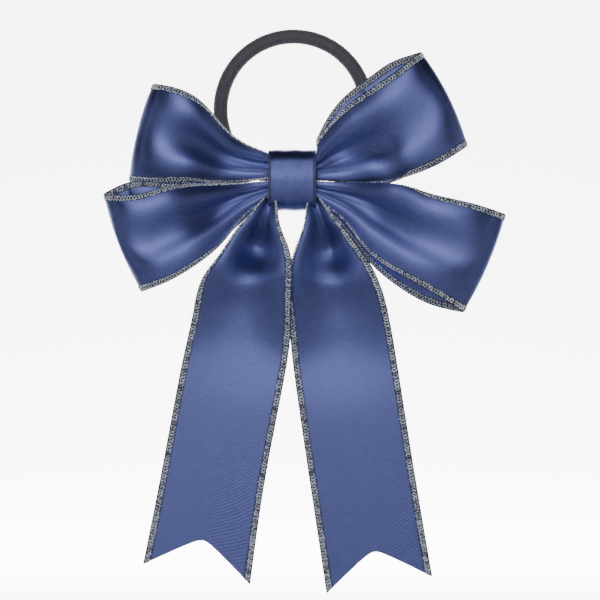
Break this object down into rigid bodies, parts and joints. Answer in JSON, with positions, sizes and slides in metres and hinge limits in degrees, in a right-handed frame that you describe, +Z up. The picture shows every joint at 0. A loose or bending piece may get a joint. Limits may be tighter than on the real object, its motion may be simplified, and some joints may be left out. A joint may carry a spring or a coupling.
{
  "type": "hair bow",
  "caption": "Looped satin hair bow with silver-edged ribbon, long swallow-tailed tails, a wrapped knot and a round covered elastic behind it.",
  "frame": {"origin": "middle of the flat back face of the knot", "axes": "+Y out of the knot's back, towards the head; +Z up along the standing elastic; +X to the viewer's right"},
  "size_m": [0.1235, 0.0246, 0.1741],
  "materials": {
    "navy_satin": "navy satin ribbon with a soft lengthwise sheen",
    "silver_braid": "metallic silver edge braid with a chain stitch",
    "knot_satin": "navy satin ribbon",
    "knot_selvedge": "woven selvedge with a fine dotted stitch",
    "sewing_thread": "matt polyester thread",
    "hot_melt_glue": "clear to cream hot-melt glue",
    "elastic_cover": "black braided nylon sleeve",
    "elastic_rubber": "natural latex cord",
    "crimp_metal": "plated crimp sleeve"
  },
  "bodies": {
    "bow": {"upper_left_loop": "navy_satin", "lower_left_loop": "navy_satin", "upper_right_loop": "navy_satin", "lower_right_loop": "navy_satin", "upper_left_top_braid": "silver_braid", "upper_left_bottom_braid": "silver_braid", "lower_left_top_braid": "silver_braid", "lower_left_bottom_braid": "silver_braid", "upper_right_top_braid": "silver_braid", "upper_right_bottom_braid": "silver_braid", "lower_right_top_braid": "silver_braid", "lower_right_bottom_braid": "silver_braid", "gathered_centre": "navy_satin", "binding_thread": "sewing_thread", "glue_beads": "hot_melt_glue", "knot_band": "knot_satin", "knot_left_selvedge": "knot_selvedge", "knot_right_selvedge": "knot_selvedge"},
    "left_tail_body": {"left_tail": "navy_satin", "left_tail_outer_braid": "silver_braid", "left_tail_inner_braid": "silver_braid"},
    "right_tail_body": {"right_tail": "navy_satin", "right_tail_inner_braid": "silver_braid", "right_tail_outer_braid": "silver_braid"},
    "elastic_base": {"elastic_cover_lower": "elastic_cover", "elastic_core_lower": "elastic_rubber", "elastic_cover_left": "elastic_cover", "elastic_cover_right": "elastic_cover", "elastic_core_left": "elastic_rubber", "elastic_core_right": "elastic_rubber", "elastic_ferrule": "crimp_metal"},
    "elastic_top": {"elastic_cover_upper": "elastic_cover", "elastic_core_upper": "elastic_rubber"}
  },
  "joints": [
    {"name": "elastic_swing", "type": "hinge", "parent": "bow", "child": "elastic_base", "pos_m": [0.0005, -0.0039, 0.002], "axis": [-1, 0, 0], "range_deg": [0, 95], "stiffness_Nm_per_rad": 0.004},
    {"name": "elastic_stretch", "type": "slide", "parent": "elastic_base", "child": "elastic_top", "axis": [0, 0, 1], "range_m": [0, 0.035], "stiffness_N_per_m": 60, "deforming": ["elastic_cover_left", "elastic_cover_right", "elastic_core_left", "elastic_core_right"]},
    {"name": "right_tail_swing", "type": "hinge", "parent": "bow", "child": "right_tail_body", "pos_m": [0.0082, -0.0136, -0.0078], "axis": [-1, 0, 0], "range_deg": [0, 60]},
    {"name": "left_tail_swing", "type": "hinge", "parent": "bow", "child": "left_tail_body", "pos_m": [-0.008, -0.0136, -0.0078], "axis": [-1, 0, 0], "range_deg": [0, 60]}
  ],
  "couplings": [
    {"joint": "left_tail_swing", "follows": "right_tail_swing", "ratio": 1}
  ]
}
